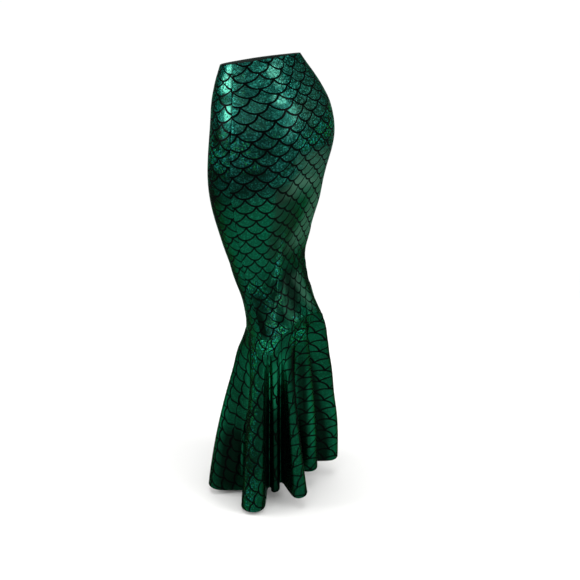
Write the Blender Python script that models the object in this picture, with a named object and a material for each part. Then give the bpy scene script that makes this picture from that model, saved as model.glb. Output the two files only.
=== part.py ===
"""Mermaid fishtail skirt: a fitted tube of two panels and a deep flounce that hangs in flutes.

Metres, +Z up, the wearer faces -Y and the wearer's left is +X. The origin is the centre of the
waist opening, where the wearer holds the skirt up. The skirt keeps its worn, hollow form.

Every piece is a closed wall of cloth. Its outer side is worked out from the section table of the
fitted tube, or from the flute table of the flounce, and its inner side lies one wall further in.
Places on the skirt are given by "turn", the direction in degrees from the wearer's left (+X)
towards the back (+Y), and by "drop", the distance below the waist.
"""
import math
from collections import namedtuple

import bmesh
import bpy
import numpy as np

# Cloth and seams.
CLOTH = 0.0016            # wall of the cloth
TURNED_CLOTH = 0.0030     # wall at the waist, where the edge is turned in over its elastic
TURNED_DEPTH = 0.030      # how far down the turned edge reaches
SEAM_GAP = 0.0003         # between two pieces that are sewn together

# Edges of the fitted tube.
WAIST_RISE = 0.0135       # the waist edge is this much higher at the centre back, lower at the front
KNEE_DROP = 0.660         # the flounce is sewn on here at the front and the sides
BACK_LIFT = 0.052         # and this much higher at the centre back
LIFT_FROM = -10.0         # turn where the back of the joining seam starts to rise
LIFT_TO = 90.0            # turn where it has risen all the way
SQUARENESS = 2.2          # exponent of the sections: 2 is an ellipse, more is squarer

# Flounce.
FLOUNCE_LENGTH = 0.500    # from the joining seam to the hem, along the cloth
HEM_MIDDLE = 0.020        # how far behind the waist's centre the hem is centred
FOLD_SOFTENING = 0.016    # length of hem over which a bend is rounded

# How finely the walls are divided.
PANEL_COLUMNS = 30
PANEL_ROWS = 20
FLOUNCE_COLUMNS = 300
FLOUNCE_ROWS = 8

# Fitted tube on a general figure: half of its width and depth, how far its middle lies behind
# the waist's centre, and the turn of the side seam, for each drop.
Section = namedtuple("Section", "drop half_width half_depth middle side_seam")
SECTIONS = (
    Section(0.00, 0.106, 0.082, 0.000, 2.0),
    Section(0.05, 0.132, 0.108, 0.013, 6.0),
    Section(0.10, 0.154, 0.123, 0.022, 9.0),
    Section(0.17, 0.171, 0.120, 0.029, 10.0),
    Section(0.25, 0.171, 0.109, 0.022, 12.0),
    Section(0.33, 0.158, 0.099, 0.018, 14.0),
    Section(0.41, 0.138, 0.081, 0.011, 18.0),
    Section(0.49, 0.116, 0.069, 0.009, 18.0),
    Section(0.57, 0.101, 0.071, 0.036, 9.0),
    Section(0.66, 0.099, 0.101, 0.073, 0.0),
)

# Flutes of the flounce, in order round the skirt from the one that carries the flounce's seam:
# turn of the joining seam where it springs, turn of its crest at the hem, the crest's reach from
# the middle of the hem, half of its width, how close to the middle the valley after it comes,
# and how early it springs out.
Flute = namedtuple("Flute", "root turn reach half_width valley spring")
FLUTES = (
    Flute(84.0, 118.0, 0.127, 0.021, 0.060, 0.8),
    Flute(120.0, 142.0, 0.188, 0.022, 0.060, 1.1),
    Flute(147.0, 165.0, 0.142, 0.021, 0.060, 0.8),
    Flute(170.0, 187.0, 0.172, 0.026, 0.062, 0.4),
    Flute(191.0, 209.0, 0.148, 0.021, 0.062, 0.2),
    Flute(212.0, 231.0, 0.178, 0.026, 0.066, 0.1),
    Flute(234.0, 254.0, 0.150, 0.021, 0.068, 0.1),
    Flute(256.0, 278.0, 0.174, 0.026, 0.070, 0.1),
    Flute(278.0, 302.0, 0.160, 0.022, 0.082, 0.2),
    Flute(304.0, 325.0, 0.188, 0.025, 0.080, 0.5),
    Flute(358.0, 376.5, 0.167, 0.034, 0.056, 0.2),
    Flute(386.0, 405.0, 0.088, 0.014, 0.056, 1.1),
    Flute(409.0, 433.0, 0.156, 0.022, 0.058, -0.4),
)
VALLEY_HALF_WIDTH = 0.006
CREST_SWEEP = 96.0        # each way from the crest, the part of a flute that is round
HEM_SAMPLES = 1680        # points along which the hem's outline is worked out
ROOT_SOFTENING = 0.080    # length of hem over which roots and springs pass into each other


def clear_scene():
    for item in list(bpy.data.objects):
        bpy.data.objects.remove(item, do_unlink=True)


def material(name, colour, roughness, metallic):
    made = bpy.data.materials.new(name)
    made.use_nodes = True
    shader = made.node_tree.nodes["Principled BSDF"]
    shader.inputs["Base Color"].default_value = (*colour, 1.0)
    shader.inputs["Roughness"].default_value = roughness
    shader.inputs["Metallic"].default_value = metallic
    made.diffuse_color = (*colour, 1.0)
    return made


def ease(value):
    """A smooth step from 0 to 1 as the value goes from 0 to 1."""
    held = min(max(value, 0.0), 1.0)
    return held * held * (3.0 - 2.0 * held)


def at_drop(drop, column):
    """Value of one column of the section table at a drop, on a smooth curve through its rows."""
    drops = [row.drop for row in SECTIONS]
    values = [getattr(row, column) for row in SECTIONS]
    last = len(drops) - 1
    place = min(max(int(np.searchsorted(drops, drop)) - 1, 0), last - 1)
    step = drops[place + 1] - drops[place]
    slopes = []
    for row in (place, place + 1):
        before = max(row - 1, 0)
        after = min(row + 1, last)
        slopes.append((values[after] - values[before]) / (drops[after] - drops[before]))
    part = (drop - drops[place]) / step
    start = (1.0 + 2.0 * part) * (1.0 - part) ** 2 * values[place]
    end = part * part * (3.0 - 2.0 * part) * values[place + 1]
    leave = part * (1.0 - part) ** 2 * step * slopes[0]
    arrive = part * part * (part - 1.0) * step * slopes[1]
    return start + end + leave + arrive


def waist_drop(turn):
    return -WAIST_RISE * math.sin(math.radians(turn))


def knee_drop(turn):
    """Drop of the joining seam: level round the front and the sides, lifted at the back."""
    behind = math.degrees(math.asin(math.sin(math.radians(turn))))
    return KNEE_DROP - BACK_LIFT * ease((behind - LIFT_FROM) / (LIFT_TO - LIFT_FROM))


def tube_point(turn, share):
    """Outer side of the fitted tube; share is 0 at the waist and 1 at the joining seam."""
    drop = (1.0 - share) * waist_drop(turn) + share * knee_drop(turn)
    across = math.cos(math.radians(turn))
    along = math.sin(math.radians(turn))
    spread = (abs(across) ** SQUARENESS + abs(along) ** SQUARENESS) ** (-1.0 / SQUARENESS)
    x = at_drop(drop, "half_width") * across * spread
    y = at_drop(drop, "middle") + at_drop(drop, "half_depth") * along * spread
    return np.array((x, y, -drop))


def level_inward(before, after):
    """Level unit vector to the left of the way from one point to the next: into the skirt."""
    way = after - before
    inward = np.array((-way[1], way[0], 0.0))
    return inward / np.linalg.norm(inward)


def tube_inner(turn, share, wall):
    step = 0.5
    inward = level_inward(tube_point(turn - step, share), tube_point(turn + step, share))
    return tube_point(turn, share) + wall * inward


def joint_point(turn, inwards=0.0):
    """The joining seam, straight between the panels' columns as the panels' edges are."""
    step = 180.0 / PANEL_COLUMNS
    column = math.floor(turn / step)
    part = turn / step - column
    first = tube_inner(column * step, 1.0, inwards)
    second = tube_inner((column + 1) * step, 1.0, inwards)
    return (1.0 - part) * first + part * second


def joint_gap(turn):
    """How far the flounce's top lies below the joining seam, to leave the seam gap across it."""
    step = 180.0 / PANEL_COLUMNS
    way = joint_point(turn + step) - joint_point(turn - step)
    return SEAM_GAP * float(np.linalg.norm(way)) / math.hypot(way[0], way[1])


def wall(name, columns, rows, outer, inner, finish):
    """A closed wall between two functions of (across, down), both from 0 to 1."""
    mesh = bpy.data.meshes.new(name)
    work = bmesh.new()
    bmesh.ops.create_grid(work, x_segments=columns, y_segments=rows, size=0.5)
    copied = bmesh.ops.extrude_face_region(work, geom=work.faces[:], use_keep_orig=True)
    inside = {item for item in copied["geom"] if isinstance(item, bmesh.types.BMVert)}
    for vertex in work.verts:
        across = vertex.co.x + 0.5
        down = 0.5 - vertex.co.y
        side = inner if vertex in inside else outer
        vertex.co = side(across, down)
    bmesh.ops.recalc_face_normals(work, faces=work.faces[:])
    work.to_mesh(mesh)
    work.free()
    mesh.materials.append(finish)
    mesh.shade_smooth()
    mesh.set_sharp_from_angle(angle=math.radians(50.0))
    piece = bpy.data.objects.new(name, mesh)
    bpy.context.collection.objects.link(piece)
    return piece


def panel(name, behind, finish):
    """One fitted panel between the side seams; behind is True for the back."""

    def turn_at(across, down):
        side = at_drop(down * KNEE_DROP, "side_seam")
        trim = math.degrees(0.5 * SEAM_GAP / at_drop(down * KNEE_DROP, "half_depth"))
        start = side if behind else -180.0 - side
        end = 180.0 - side if behind else side
        turn = (1.0 - across) * start + across * end
        return min(max(turn, start + trim), end - trim)

    def outer(across, down):
        return tube_point(turn_at(across, down), down)

    def inner(across, down):
        turned = ease(2.0 * (1.0 - down * KNEE_DROP / TURNED_DEPTH))
        thick = CLOTH + (TURNED_CLOTH - CLOTH) * turned
        return tube_inner(turn_at(across, down), down, thick)

    return wall(name, PANEL_COLUMNS, PANEL_ROWS, outer, inner, finish)


def arc(middle, radius, start, end, count):
    """Points on an arc of a circle, from one angle in degrees to another."""
    angles = np.radians(np.linspace(start, end, count))
    return [(middle[0] + radius * math.cos(a), middle[1] + radius * math.sin(a)) for a in angles]


def evenly(points, count):
    """Points evenly spaced along a closed outline, and the outline's length."""
    closed = np.vstack((points, points[:1]))
    lengths = np.linalg.norm(np.diff(closed, axis=0), axis=1)
    passed = np.concatenate(([0.0], np.cumsum(lengths)))
    wanted = np.arange(count) / count * passed[-1]
    columns = [np.interp(wanted, passed, closed[:, axis]) for axis in (0, 1)]
    return np.stack(columns, axis=1), passed[-1]


def softened(values, width, length):
    """Values along the closed hem, each replaced by the mean of those within a width, twice."""
    reach = round(0.5 * width / length * HEM_SAMPLES)
    for _ in range(2):
        near = [np.roll(values, shift, axis=0) for shift in range(-reach, reach + 1)]
        values = np.mean(near, axis=0)
    return values


def hem_outline():
    """The hem from above: round crests and valleys joined by straight walls, then softened.

    Starts at the crest of the first flute. Also the root and the spring for each point of it.
    """
    points = []
    marks = []
    count = len(FLUTES)
    for number, flute in enumerate(FLUTES):
        following = FLUTES[(number + 1) % count]
        lap = 360.0 if number == count - 1 else 0.0
        out = math.radians(flute.turn)
        centre = flute.reach - flute.half_width
        middle = (centre * math.cos(out), centre * math.sin(out))
        points += arc(middle, flute.half_width, flute.turn - CREST_SWEEP, flute.turn + CREST_SWEEP, 17)
        marks.append((flute.turn, flute.reach, flute.root, flute.spring))
        between = 0.5 * (flute.turn + following.turn + lap)
        bottom = flute.valley + VALLEY_HALF_WIDTH
        low = (bottom * math.cos(math.radians(between)), bottom * math.sin(math.radians(between)))
        points += arc(low, VALLEY_HALF_WIDTH, between + 270.0, between + 90.0, 9)
        root = 0.5 * (flute.root + following.root + lap)
        marks.append((between, flute.valley, root, 0.5 * (flute.spring + following.spring)))
    outline, length = evenly(np.array(points), HEM_SAMPLES)
    outline = softened(outline, FOLD_SOFTENING, length)
    start = nearest_sample(outline, marks[0][0], marks[0][1])
    outline, length = evenly(np.roll(outline, -start, axis=0), HEM_SAMPLES)
    places = [nearest_sample(outline, turn, reach) for turn, reach, _, _ in marks]
    places = [0] + places[1:] + [HEM_SAMPLES]
    samples = np.arange(HEM_SAMPLES)
    lap_share = 360.0 * samples / HEM_SAMPLES
    roots = [mark[2] for mark in marks] + [marks[0][2] + 360.0]
    roots = softened(np.interp(samples, places, roots) - lap_share, ROOT_SOFTENING, length) + lap_share
    springs = [mark[3] for mark in marks] + [marks[0][3]]
    springs = softened(np.interp(samples, places, springs), ROOT_SOFTENING, length)
    outline[:, 1] += HEM_MIDDLE
    return outline, roots, springs, length


def nearest_sample(outline, turn, reach):
    out = math.radians(turn)
    spot = np.array((reach * math.cos(out), reach * math.sin(out)))
    return int(np.argmin(np.hypot(*(outline - spot).T)))


def fallen(distance, spring, fall):
    """Height lost by cloth that moves a level distance sideways over its whole length."""
    steps = 12
    total = 0.0
    for number in range(steps):
        part = (number + 0.5) / steps * fall
        level = distance * (1.0 + spring - 2.0 * spring * part)
        total += math.sqrt(FLOUNCE_LENGTH ** 2 - level ** 2) * fall / steps
    return total


def flounce_wall(finish):
    outline, roots, springs, hem_length = hem_outline()
    seam_length = sum(
        np.linalg.norm(joint_point(turn + 1.0) - joint_point(turn)) for turn in range(360)
    )
    start = float(roots[0])

    def hem_at(turn):
        lap = start + (turn - start) % 360.0
        along = np.append(roots, start + 360.0)
        around = [np.interp(lap, along, np.append(outline[:, axis], outline[0, axis])) for axis in (0, 1)]
        return np.array(around), float(np.interp(lap, along, np.append(springs, springs[0])))

    def point(share, down):
        turn = FLUTES[0].root + 360.0 * share
        top = joint_point(turn)
        spot, spring = hem_at(turn)
        part = down * (1.0 + spring * (1.0 - down))
        level = top[:2] + part * (spot - top[:2])
        distance = float(np.linalg.norm(spot - top[:2]))
        height = top[2] - joint_gap(turn) - fallen(distance, spring, down)
        return np.array((level[0], level[1], height))

    def share_at(across, down):
        girth = (1.0 - down) * seam_length + down * hem_length
        trim = 0.5 * SEAM_GAP / girth
        return min(max(across, trim), 1.0 - trim)

    def outer(across, down):
        return point(share_at(across, down), down)

    def inner(across, down):
        share = share_at(across, down)
        if down < 0.001:
            turn = FLUTES[0].root + 360.0 * share
            return joint_point(turn, CLOTH) - np.array((0.0, 0.0, joint_gap(turn)))
        step = 1.0 / FLOUNCE_COLUMNS
        inward = level_inward(point(share - step, down), point(share + step, down))
        return point(share, down) + CLOTH * inward

    return wall("flounce", FLOUNCE_COLUMNS, FLOUNCE_ROWS, outer, inner, finish)


def build():
    clear_scene()
    panel("front_panel", False, material("front_foil", (0.010, 0.115, 0.065), 0.34, 0.75))
    panel("back_panel", True, material("back_foil", (0.010, 0.100, 0.058), 0.36, 0.75))
    flounce_wall(material("flounce_foil", (0.008, 0.105, 0.060), 0.36, 0.75))


build()
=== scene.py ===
"""Mermaid fishtail skirt in emerald foil knit with a black fish-scale print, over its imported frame.

Each cut piece of cloth is a thin shell on its solid's form, with its own folds, its turned or
narrow edge and the print laid on it as it was cut. Metres, +Z up, the wearer faces -Y and the
wearer's left is +X. "turn" is the direction in degrees from the wearer's left (+X) towards the
back (+Y), and "drop" the distance below the waist. "down" runs from 0 to 1 along a piece.
"""
import math
from collections import namedtuple

import bmesh
import bpy
import numpy as np
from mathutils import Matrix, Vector


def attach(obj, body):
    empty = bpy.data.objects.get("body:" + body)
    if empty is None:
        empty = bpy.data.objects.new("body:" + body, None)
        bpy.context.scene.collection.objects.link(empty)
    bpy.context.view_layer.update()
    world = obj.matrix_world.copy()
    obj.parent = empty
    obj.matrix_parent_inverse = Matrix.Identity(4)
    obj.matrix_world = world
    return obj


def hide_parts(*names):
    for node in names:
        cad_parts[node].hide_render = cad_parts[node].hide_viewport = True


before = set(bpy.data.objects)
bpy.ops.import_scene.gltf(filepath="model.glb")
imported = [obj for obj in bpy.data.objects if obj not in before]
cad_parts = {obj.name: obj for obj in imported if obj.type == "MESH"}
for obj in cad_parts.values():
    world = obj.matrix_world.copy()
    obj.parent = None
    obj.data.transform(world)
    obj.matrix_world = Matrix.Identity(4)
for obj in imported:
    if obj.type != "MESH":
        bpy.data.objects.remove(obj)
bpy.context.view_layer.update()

# Edges and form of the fitted tube and of the flounce, as the solids have them.
WAIST_RISE = 0.0135       # the waist is higher at the back by this, and lower at the front
WAIST_LIFT = 0.006        # the turned waist stands up by this over its elastic
KNEE_DROP = 0.660         # the joining seam at the front
BACK_LIFT = 0.052         # how far it arcs up at the centre back, and between which turns
LIFT_FROM = -10.0
LIFT_TO = 90.0
SQUARENESS = 2.2
FLOUNCE_LENGTH = 0.500
HEM_MIDDLE = 0.020        # the hem's middle lies behind the origin by this
FOLD_SOFTENING = 0.016    # how much of the hem's length its outline is smoothed over
ROOT_SOFTENING = 0.080    # and the way from the seam down to it
VALLEY_HALF_WIDTH = 0.006
CREST_SWEEP = 96.0        # how far a crest's arc runs to either side, in degrees
CREST_POINTS = 17
VALLEY_POINTS = 9
HEM_SAMPLES = 1680
FALL_STEPS = 12           # steps in which the flounce's fall is added up

Section = namedtuple("Section", "drop half_width half_depth middle side_seam")
SECTIONS = (
    Section(0.00, 0.106, 0.082, 0.000, 2.0),
    Section(0.05, 0.132, 0.108, 0.013, 6.0),
    Section(0.10, 0.154, 0.123, 0.022, 9.0),
    Section(0.17, 0.171, 0.120, 0.029, 10.0),
    Section(0.25, 0.171, 0.109, 0.022, 12.0),
    Section(0.33, 0.158, 0.099, 0.018, 14.0),
    Section(0.41, 0.138, 0.081, 0.011, 18.0),
    Section(0.49, 0.116, 0.069, 0.009, 18.0),
    Section(0.57, 0.101, 0.071, 0.036, 9.0),
    Section(0.66, 0.099, 0.101, 0.073, 0.0),
)

Flute = namedtuple("Flute", "root turn reach half_width valley spring")
FLUTES = (
    Flute(84.0, 118.0, 0.127, 0.021, 0.060, 0.8),
    Flute(120.0, 142.0, 0.188, 0.022, 0.060, 1.1),
    Flute(147.0, 165.0, 0.142, 0.021, 0.060, 0.8),
    Flute(170.0, 187.0, 0.172, 0.026, 0.062, 0.4),
    Flute(191.0, 209.0, 0.148, 0.021, 0.062, 0.2),
    Flute(212.0, 231.0, 0.178, 0.026, 0.066, 0.1),
    Flute(234.0, 254.0, 0.150, 0.021, 0.068, 0.1),
    Flute(256.0, 278.0, 0.174, 0.026, 0.070, 0.1),
    Flute(278.0, 302.0, 0.160, 0.022, 0.082, 0.2),
    Flute(304.0, 325.0, 0.188, 0.025, 0.080, 0.5),
    Flute(358.0, 376.5, 0.167, 0.034, 0.056, 0.2),
    Flute(386.0, 405.0, 0.088, 0.014, 0.056, 1.1),
    Flute(409.0, 433.0, 0.156, 0.022, 0.058, -0.4),
)
FLOUNCE_START = FLUTES[0].root

# The cloth, its edges and its seams.
CLOTH = 0.0008            # the foil knit
TURNED_CLOTH = 0.0026     # at the waist, turned in over its elastic
TURNED_DEPTH = 0.028
HEM_CLOTH = 0.0016        # the narrow hem, turned once
HEM_DEPTH = 0.007
SEAM_SINK = 0.0007        # how deep cloth sinks into a sewn seam
SEAM_REACH = 0.0045       # and how far from the seam that starts
PANEL_WIDTH = 0.42        # about how wide a panel is, to tell how far off its side seams are
EDGE_ROUNDING = 0.92      # short of a full round, so that an edge keeps a wall of its own
SLOPE_STEP = 0.0004       # the share of the cloth over which its slope is felt
JOIN_WITHIN = 0.00001     # how close the two sides of the ring lie before they are joined

# How finely each piece is made, and how its rows close up: so many of them fall within a share of
# the cloth at an edge.
PANEL_COLUMNS = 150
PANEL_ROWS = 250
FLOUNCE_COLUMNS = 580
FLOUNCE_ROWS = 72
Edge = namedtuple("Edge", "share rows")
PANEL_SIDE = Edge(0.012, 3)
PANEL_END = Edge(0.006, 4)
FLOUNCE_SIDE = Edge(0.004, 3)
FLOUNCE_END = Edge(0.008, 4)

# Shares of the flounce's columns, and the share of its turn that each has reached. They stand
# closer between the left side's flutes, which have the smallest folds.
COLUMNS_PASSED = (0.0, 0.57, 0.70, 0.76, 0.87, 1.0)
TURN_PASSED = (0.0, 0.60, 0.69, 0.76, 0.89, 1.0)

# The print: scales in rows, each row shifted by half a scale.
SCALE_WIDTH = 0.054
SCALE_RISE = 0.0185       # from one row to the next, and how far one arc sags
INK_HALF_WIDTH = 0.0022
INK_SOFTNESS = 0.0006
FLOUNCE_SCALES = 1.05     # the flounce's scales against those of the panels
MEASURE_STEPS = 40        # steps in which a way along the cloth is measured

# The scales' size on the worn panels, which stretch over the hips and narrow to the knees.
Lay = namedtuple("Lay", "drop width rise")
LAYS = (
    Lay(0.00, 0.0503, 0.0209),
    Lay(0.04, 0.0650, 0.0172),
    Lay(0.10, 0.0634, 0.0203),
    Lay(0.17, 0.0603, 0.0200),
    Lay(0.25, 0.0546, 0.0202),
    Lay(0.33, 0.0507, 0.0193),
    Lay(0.41, 0.0455, 0.0203),
    Lay(0.49, 0.0390, 0.0190),
    Lay(0.66, 0.0375, 0.0190),
)

# Where the print falls on a panel, in scales: across at the panel's middle, how far it drifts
# sideways per metre of drop, down at the waist, its slope in rows per scale, and its two sizes.
Place = namedtuple("Place", "across drift down slope wide tall")
FRONT_PLACE = Place(-2.53, -4.7, -1.25, -0.38, 0.97, 0.96)
BACK_PLACE = Place(2.63, 0.0, -0.48, 0.05, 1.0, 1.0)

# Where the print is drawn sideways or down on the back panel: from a turn on, within so many
# degrees, and from a drop on, within so many metres, by so many scales and rows.
Drift = namedtuple("Drift", "turn over drop deep across rows")
BACK_DRIFTS = (
    Drift(66.0, 28.0, -0.10, 0.08, 0.35, 0.0),
    Drift(83.0, 30.0, 0.18, 0.16, 0.37, 0.0),
    Drift(63.0, 15.0, 0.03, 0.10, 0.0, 0.28),
    Drift(64.0, 40.0, 0.18, 0.12, 0.0, 0.69),
    Drift(56.0, -30.0, 0.0, 0.50, 0.0, 0.80),
)

# The foil. Each pair runs from where something starts to where it is full: heights for what
# changes down the skirt, and a flake's own number, from 0 to 1, for what only some flakes do.
# deep and bright bound the foil's own greens; pale is the colour of its painted highlight.
Greens = namedtuple("Greens", "deep bright pale")
PANEL_GREENS = Greens(
    deep=(0.0010, 0.029, 0.0132, 1.0),
    bright=(0.0085, 0.212, 0.113, 1.0),
    pale=(0.068, 0.310, 0.228, 1.0),
)
# The flounce is the same foil in darker greens, painted shade for the lower, folded flounce, with a
# greener painted highlight.
FLOUNCE_SHADED_GREENS = Greens(
    deep=(0.0006, 0.019, 0.0083, 1.0),
    bright=(0.0050, 0.130, 0.061, 1.0),
    pale=(0.009, 0.200, 0.092, 1.0),
)
DEEP_TEAL = (0.0026, 0.025, 0.0225, 1.0)
BRIGHT_TEAL = (0.022, 0.180, 0.158, 1.0)
SHADED_SCALE = (0.0012, 0.038, 0.020, 1.0)
# Colours of the painted glints on single flakes.
PAINTED_GREEN_GLINT = (0.030, 0.52, 0.13, 1.0)
PAINTED_BLUE_GLINT = (0.020, 0.43, 0.40, 1.0)
# The dark green that painted shade takes the foil to.
PAINTED_SHADE_GREEN = (0.0004, 0.0060, 0.0030, 1.0)
# The colour of a painted milky reflection of the white room.
PAINTED_REFLECTION_TINT = (0.038, 0.102, 0.066, 1.0)
INK = (0.0006, 0.0010, 0.0009, 1.0)
FLAKES = 400.0            # to the metre
FLAKE_TILT = 0.28         # how far flakes lean off the cloth
HIP_GRAIN = (-0.32, -0.22)
HIP_TEAL = (-0.31, -0.24)
CALM_GRAIN = 0.38         # how much the flakes tell below the hips
CALM_FLASH = 0.16         # how bright foil without flakes is, between deep and bright
LEAST_TEAL = 0.62         # how teal the least teal scale over the hips is
SCALE_CONTRAST = 0.3      # how much single scales differ
HIGHLIGHT_GRAIN = 0.65        # how much dark flakes break up a painted highlight
BLUE_FLAKES = (0.35, 0.65)
LIT_FLAKES = (0.68, 0.94)
# Flakes among the painted glints that go dark, and how dark they go.
DARK_FLAKES = (0.25, 0.6)       # from fully dark to not dark at all
DARK_FLAKE_SHARE = 0.7
PAINTED_REFLECTION_SHARE = 0.85         # how much a full painted reflection of the room covers
FOIL_ROUGHNESS = 0.29
FLAKE_ROUGHNESS = 0.10    # what single flakes add to it, and the print
INK_ROUGHNESS = 0.35
FOIL_EDGE_TINT = (0.06, 0.30, 0.20, 1.0)

# The knit's reverse.
STITCHES = 900.0          # to the metre
STITCH_HEIGHT = 0.0004
STITCH_RELIEF = 0.3
DARK_KNIT = (0.008, 0.016, 0.013, 1.0)
LIGHT_KNIT = (0.020, 0.036, 0.030, 1.0)

# Painted light on the foil: painted highlights, painted glints, painted shade and a painted milky
# reflection of the white room. Each patch has its middle, half its width and height in metres along
# the cloth, its lean in degrees and how soft its edge is.
Patch = namedtuple(
    "Patch", "turn drop wide tall lean soft sheen spark dull veil", defaults=(0, 0.9, 0, 0, 0, 0))
PATCH_SQUARENESS = 4
FRONT_PATCHES = (
    Patch(-0.5, 0.010, 0.015, 0.015, soft=0.6, sheen=1, veil=0.1),
    Patch(-4.0, 0.035, 0.021, 0.017, lean=5, soft=0.6, sheen=1, spark=0.1, veil=0.12),
    Patch(-4.0, 0.065, 0.032, 0.0115, spark=0.1, dull=0.65),
    Patch(6.0, 0.090, 0.019, 0.018, soft=0.6, sheen=0.85, spark=0.1, veil=0.06),
    Patch(-14.5, 0.111, 0.027, 0.044, soft=1, dull=0.42),
    Patch(-3.0, 0.134, 0.035, 0.019, soft=1, spark=0.1, dull=0.5),
    Patch(-1.5, 0.192, 0.071, 0.045, sheen=0.03, spark=0.65, dull=0.5),
    Patch(-1.0, 0.163, 0.046, 0.013, soft=1, dull=0.3),
    Patch(-10.0, 0.260, 0.092, 0.041, dull=0.6),
    Patch(-12.5, 0.324, 0.071, 0.041, lean=10, soft=1, dull=0.35),
    Patch(-24.0, 0.406, 0.071, 0.091, lean=15, soft=1, dull=0.15),
    Patch(-3.5, 0.560, 0.039, 0.074, lean=15, soft=1, spark=0.1, dull=0.5),
    Patch(-64.0, 0.050, 0.045, 0.030, sheen=0.18, spark=0.1, veil=0.05),
    Patch(-112.0, 0.035, 0.040, 0.026, lean=5, soft=0.8, sheen=0.3, spark=0.1, veil=0.08),
    Patch(-128.0, 0.110, 0.036, 0.030, sheen=0.35, veil=0.1),
    Patch(-90.0, 0.150, 0.080, 0.045, soft=1, sheen=0.05, spark=0.55, dull=0.1),
    Patch(-70.0, 0.260, 0.050, 0.080, lean=8, dull=0.35),
    Patch(-118.0, 0.300, 0.045, 0.100, lean=-6, sheen=0.1, veil=0.2),
    Patch(-96.0, 0.440, 0.060, 0.060, soft=1, sheen=0.1, spark=0.3),
    Patch(-60.0, 0.520, 0.040, 0.060, lean=15, dull=0.5),
    Patch(-120.0, 0.570, 0.035, 0.050, lean=-15, spark=0.3, dull=0.35),
)
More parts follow.
